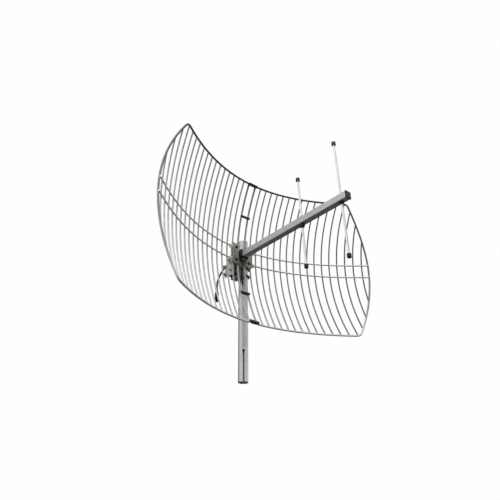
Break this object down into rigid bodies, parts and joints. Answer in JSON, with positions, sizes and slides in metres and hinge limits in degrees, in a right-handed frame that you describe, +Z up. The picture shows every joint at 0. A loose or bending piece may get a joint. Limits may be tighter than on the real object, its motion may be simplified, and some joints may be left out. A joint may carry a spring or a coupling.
{
  "type": "parabolic grid antenna",
  "caption": "Parabolic wire-grid reflector in two halves on a mast clamp, with a square boom, a dipole feed, a tilt bracket and a coax pigtail.",
  "frame": {"origin": "centre of the lower end of the mast stub, where the antenna is held up", "axes": "+Z up along the mast, -Y the way the boom points, +X to the right when looking along +Y into the dish"},
  "size_m": [1.0216, 0.721, 0.7837],
  "materials": {
    "galvanised_rod": "galvanised, satin",
    "mast_tube": "plain tube, satin",
    "boom_aluminium": "plain square tube, satin",
    "bright_rod": "bright drawn rod",
    "cast_bracket": "galvanised casting, dull",
    "plated_steel": "yellowish zinc plate",
    "black_steel": "black, satin",
    "zinc_fastener": "zinc plated",
    "nickel": "nickel plated",
    "cable_jacket": "black polyethylene jacket",
    "black_plastic": "moulded, matt"
  },
  "bodies": {
    "mast_stub": {"mast": "mast_tube"},
    "mast_clamp": {"clamp_nut_front_lower": "zinc_fastener", "clamp_nut_front_upper": "zinc_fastener", "clamp_nut_rear_lower": "zinc_fastener", "clamp_nut_rear_upper": "zinc_fastener", "clamp_ubolt_lower": "zinc_fastener", "clamp_ubolt_upper": "zinc_fastener", "clamp_v_block": "cast_bracket", "pivot_bolt": "zinc_fastener", "pivot_nut": "zinc_fastener", "tie_strap": "black_plastic", "tilt_bracket": "cast_bracket"},
    "reflector": {"boom": "boom_aluminium", "boom_collar": "black_steel", "boom_end_cap": "black_plastic", "boom_rear_plug": "black_plastic", "boom_screw": "black_steel", "coax_pigtail": "cable_jacket", "collar_bolt": "zinc_fastener", "collar_nut": "zinc_fastener", "connector_body": "black_steel", "connector_ferrule": "nickel", "dipole_arm_lower": "bright_rod", "dipole_arm_upper": "bright_rod", "dipole_cap_lower": "black_plastic", "dipole_cap_upper": "black_plastic", "dipole_insulator_lower": "black_plastic", "dipole_insulator_upper": "black_plastic", "feed_coax": "cable_jacket", "feed_terminal": "black_plastic", "grid_left": "galvanised_rod", "grid_right": "galvanised_rod", "hub_plate": "cast_bracket", "lock_bolt": "zinc_fastener", "lock_nut": "zinc_fastener", "rib_bolt_left_lower": "black_steel", "rib_bolt_left_upper": "black_steel", "rib_bolt_right_lower": "black_steel", "rib_bolt_right_upper": "black_steel", "rib_clamp_left": "plated_steel", "rib_clamp_right": "plated_steel", "rib_nut_left_lower": "zinc_fastener", "rib_nut_left_upper": "zinc_fastener", "rib_nut_right_lower": "zinc_fastener", "rib_nut_right_upper": "zinc_fastener", "seam_clip_bottom": "black_plastic", "seam_clip_lower": "black_plastic", "seam_clip_top": "black_plastic", "seam_clip_upper": "black_plastic", "sleeve_bolt": "zinc_fastener", "sleeve_nut": "zinc_fastener", "sub_cap_lower": "black_plastic", "sub_cap_upper": "black_plastic", "sub_grommet_lower": "black_plastic", "sub_grommet_upper": "black_plastic", "sub_reflector_rod": "bright_rod"}
  },
  "joints": [
    {"name": "azimuth_swivel", "type": "hinge", "parent": "mast_stub", "child": "mast_clamp", "pos_m": [0, 0, 0.42], "axis": [0, 0, 1], "continuous": true},
    {"name": "elevation_tilt", "type": "hinge", "parent": "mast_clamp", "child": "reflector", "pos_m": [-0.0545, 0, 0.48], "axis": [-1, 0, 0], "range_deg": [-10, 15]}
  ]
}
